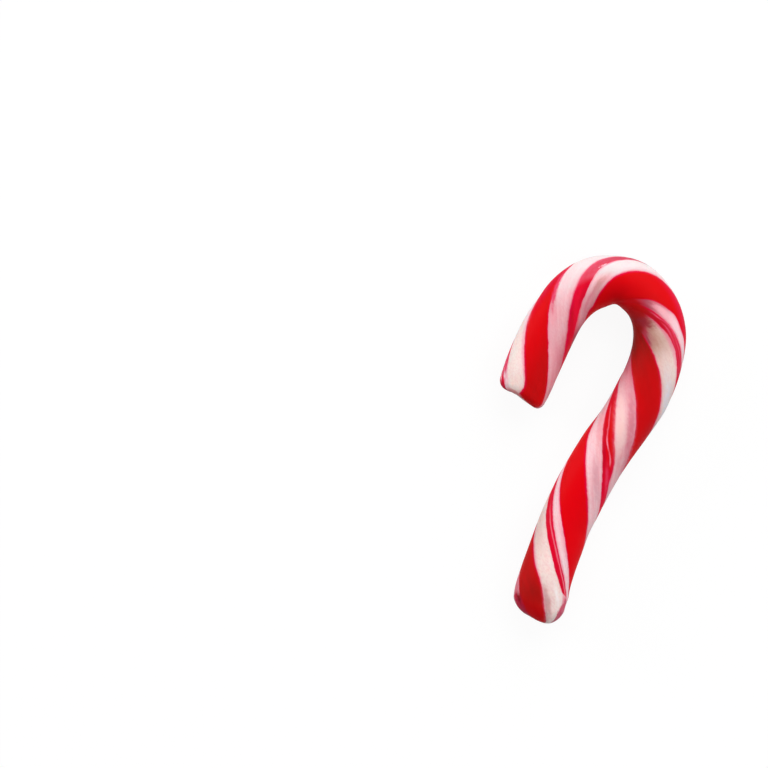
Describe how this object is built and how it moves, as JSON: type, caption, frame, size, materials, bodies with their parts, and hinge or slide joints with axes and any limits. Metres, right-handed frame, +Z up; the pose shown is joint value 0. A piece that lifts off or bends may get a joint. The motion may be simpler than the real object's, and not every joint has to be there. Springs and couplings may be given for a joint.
{
  "type": "candy cane",
  "caption": "Small candy cane: one twisted rope of pulled sugar in red and white stripes, bent into a crook with snipped ends, lying on its side.",
  "frame": {"origin": "middle of the cane's bounding box, on the surface that it lies on", "axes": "+Y along the stem, from its foot to the crook; +X away from the crook's tip; +Z up, across the rope's thickness"},
  "size_m": [0.0246, 0.0542, 0.0078],
  "materials": {
    "pulled_sugar": "satin"
  },
  "bodies": {
    "root": {"cane": "pulled_sugar"}
  },
  "joints": []
}
